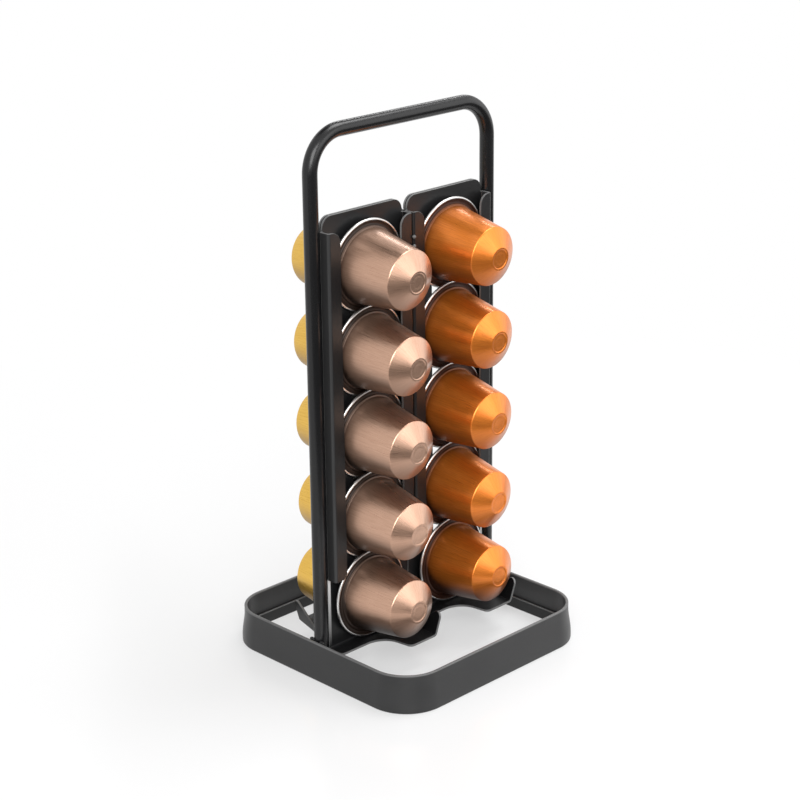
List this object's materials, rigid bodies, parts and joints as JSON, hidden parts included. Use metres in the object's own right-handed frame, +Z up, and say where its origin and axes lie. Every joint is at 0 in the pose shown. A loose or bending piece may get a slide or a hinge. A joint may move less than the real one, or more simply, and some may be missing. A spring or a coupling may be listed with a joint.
{
  "type": "coffee capsule dispenser",
  "caption": "Upright black metal stand with a square ring base, a carrying handle and folded channels that hold coffee capsules back to back, each taken out at the bottom.",
  "frame": {"origin": "middle of the base ring's footprint, on the table", "axes": "+Z up; X runs along the channels' backs, so the row of fronts with the bronze and orange capsules faces -Y and the gold ones face +Y"},
  "size_m": [0.1062, 0.1062, 0.2211],
  "materials": {
    "black_coat": "satin black powder coat",
    "bronze_capsule": "bronze anodised, fine lengthwise brushing",
    "orange_capsule": "orange anodised, fine lengthwise brushing",
    "gold_capsule": "gold anodised, fine lengthwise brushing",
    "silver_foil": "plain silver foil, satin"
  },
  "bodies": {
    "rack": {"base_ring": "black_coat", "handle_rod": "black_coat", "channel_front_left": "black_coat", "channel_front_right": "black_coat", "channel_rear_left": "black_coat", "channel_rear_right": "black_coat", "weld_foot_left_front": "black_coat", "weld_foot_left_rear": "black_coat", "weld_foot_right_front": "black_coat", "weld_foot_right_rear": "black_coat", "weld_tacks_front": "black_coat", "weld_tacks_rear": "black_coat"},
    "capsule_front_left_1": {"capsule_front_left_1_body": "bronze_capsule", "capsule_front_left_1_lid": "silver_foil"},
    "capsule_front_left_2": {"capsule_front_left_2_body": "bronze_capsule", "capsule_front_left_2_lid": "silver_foil"},
    "capsule_front_left_3": {"capsule_front_left_3_body": "bronze_capsule", "capsule_front_left_3_lid": "silver_foil"},
    "capsule_front_left_4": {"capsule_front_left_4_body": "bronze_capsule", "capsule_front_left_4_lid": "silver_foil"},
    "capsule_front_left_5": {"capsule_front_left_5_body": "bronze_capsule", "capsule_front_left_5_lid": "silver_foil"},
    "capsule_front_right_1": {"capsule_front_right_1_body": "orange_capsule", "capsule_front_right_1_lid": "silver_foil"},
    "capsule_front_right_2": {"capsule_front_right_2_body": "orange_capsule", "capsule_front_right_2_lid": "silver_foil"},
    "capsule_front_right_3": {"capsule_front_right_3_body": "orange_capsule", "capsule_front_right_3_lid": "silver_foil"},
    "capsule_front_right_4": {"capsule_front_right_4_body": "orange_capsule", "capsule_front_right_4_lid": "silver_foil"},
    "capsule_front_right_5": {"capsule_front_right_5_body": "orange_capsule", "capsule_front_right_5_lid": "silver_foil"},
    "capsule_rear_left_1": {"capsule_rear_left_1_body": "gold_capsule", "capsule_rear_left_1_lid": "silver_foil"},
    "capsule_rear_left_2": {"capsule_rear_left_2_body": "gold_capsule", "capsule_rear_left_2_lid": "silver_foil"},
    "capsule_rear_left_3": {"capsule_rear_left_3_body": "gold_capsule", "capsule_rear_left_3_lid": "silver_foil"},
    "capsule_rear_left_4": {"capsule_rear_left_4_body": "gold_capsule", "capsule_rear_left_4_lid": "silver_foil"},
    "capsule_rear_left_5": {"capsule_rear_left_5_body": "gold_capsule", "capsule_rear_left_5_lid": "silver_foil"}
  },
  "joints": [
    {"name": "front_left_1_pull", "type": "slide", "parent": "rack", "child": "capsule_front_left_1", "axis": [-0.1214, -0.9891, 0.0837], "range_m": [0, 0.04]},
    {"name": "front_left_2_lift", "type": "slide", "parent": "rack", "child": "capsule_front_left_2", "axis": [0, 0, 1], "range_m": [0, 0.0008]},
    {"name": "front_left_3_lift", "type": "slide", "parent": "capsule_front_left_2", "child": "capsule_front_left_3", "axis": [0, 0, 1], "range_m": [0, 0.0008]},
    {"name": "front_left_4_lift", "type": "slide", "parent": "capsule_front_left_3", "child": "capsule_front_left_4", "axis": [0, 0, 1], "range_m": [0, 0.0008]},
    {"name": "front_left_5_lift", "type": "slide", "parent": "capsule_front_left_4", "child": "capsule_front_left_5", "axis": [0, 0, 1], "range_m": [0, 0.0355]},
    {"name": "front_right_1_pull", "type": "slide", "parent": "rack", "child": "capsule_front_right_1", "axis": [-0.1214, -0.9891, 0.0837], "range_m": [0, 0.04]},
    {"name": "front_right_2_lift", "type": "slide", "parent": "rack", "child": "capsule_front_right_2", "axis": [0, 0, 1], "range_m": [0, 0.0008]},
    {"name": "front_right_3_lift", "type": "slide", "parent": "capsule_front_right_2", "child": "capsule_front_right_3", "axis": [0, 0, 1], "range_m": [0, 0.0008]},
    {"name": "front_right_4_lift", "type": "slide", "parent": "capsule_front_right_3", "child": "capsule_front_right_4", "axis": [0, 0, 1], "range_m": [0, 0.0008]},
    {"name": "front_right_5_lift", "type": "slide", "parent": "capsule_front_right_4", "child": "capsule_front_right_5", "axis": [0, 0, 1], "range_m": [0, 0.0355]},
    {"name": "rear_left_1_pull", "type": "slide", "parent": "rack", "child": "capsule_rear_left_1", "axis": [0.1214, 0.9891, 0.0837], "range_m": [0, 0.04]},
    {"name": "rear_left_2_lift", "type": "slide", "parent": "rack", "child": "capsule_rear_left_2", "axis": [0, 0, 1], "range_m": [0, 0.0008]},
    {"name": "rear_left_3_lift", "type": "slide", "parent": "capsule_rear_left_2", "child": "capsule_rear_left_3", "axis": [0, 0, 1], "range_m": [0, 0.0008]},
    {"name": "rear_left_4_lift", "type": "slide", "parent": "capsule_rear_left_3", "child": "capsule_rear_left_4", "axis": [0, 0, 1], "range_m": [0, 0.0008]},
    {"name": "rear_left_5_lift", "type": "slide", "parent": "capsule_rear_left_4", "child": "capsule_rear_left_5", "axis": [0, 0, 1], "range_m": [0, 0.0355]}
  ]
}
